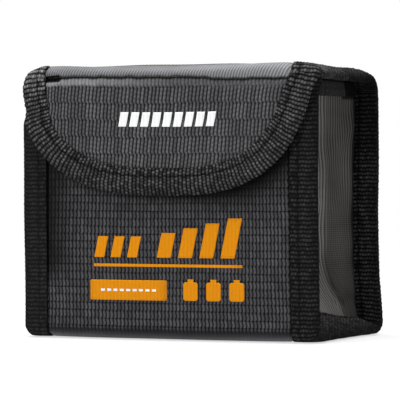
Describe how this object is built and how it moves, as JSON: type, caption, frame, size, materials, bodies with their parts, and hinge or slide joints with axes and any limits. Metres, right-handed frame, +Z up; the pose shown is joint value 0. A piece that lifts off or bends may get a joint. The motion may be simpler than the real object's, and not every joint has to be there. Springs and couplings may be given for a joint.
{
  "type": "lipo safe bag",
  "caption": "Boxy fire-resistant battery pouch with taped edges, a fold-over lid and a rounded hook-and-loop flap; keeps small lithium packs while stored or charged.",
  "frame": {"origin": "centre of the base, on the ground, midway between the body's front and back", "axes": "+Z up, -Y out of the front under the flap, +X to the right seen from the front"},
  "size_m": [0.11, 0.0697, 0.095],
  "materials": {
    "body_cloth": "coated ripstop weave, satin",
    "side_cloth": "soft coated weave, satin",
    "lid_cloth": "coated ripstop weave, satin",
    "lining": "plain glass-fibre weave, matte",
    "felt": "needled felt, matte",
    "tape": "ribbed woven tape, matte",
    "thread": "twisted thread, slight sheen",
    "hook_loop": "hook-and-loop pile, matte",
    "orange_print": "screen-printed ink, satin",
    "white_print": "screen-printed ink, satin"
  },
  "bodies": {
    "bag": {"body_shell": "body_cloth", "body_padding": "felt", "body_lining": "lining", "right_gusset": "side_cloth", "left_gusset": "side_cloth", "right_lining": "lining", "left_lining": "lining", "right_seam_binding": "tape", "left_seam_binding": "tape", "right_seam_thread": "thread", "left_seam_thread": "thread", "front_mouth_binding": "tape", "right_mouth_binding": "tape", "left_mouth_binding": "tape", "loop_patch": "hook_loop", "loop_thread": "thread", "front_print": "orange_print", "label_print": "white_print"},
    "lid": {"lid_shell": "lid_cloth", "lid_lining": "lining", "right_lid_binding": "tape", "left_lid_binding": "tape", "right_lid_thread": "thread", "left_lid_thread": "thread"},
    "flap": {"flap_shell": "body_cloth", "flap_lining": "lining", "flap_binding": "tape", "flap_thread": "thread", "crease_thread": "thread", "hook_patch": "hook_loop", "hook_thread": "thread", "flap_print": "white_print"}
  },
  "joints": [
    {"name": "lid_hinge", "type": "hinge", "parent": "bag", "child": "lid", "pos_m": [0, 0.0333, 0.085], "axis": [-1, 0, 0], "range_deg": [0, 175]},
    {"name": "flap_hinge", "type": "hinge", "parent": "lid", "child": "flap", "pos_m": [0, -0.0369, 0.0906], "axis": [-1, 0, 0], "range_deg": [0, 170]}
  ]
}
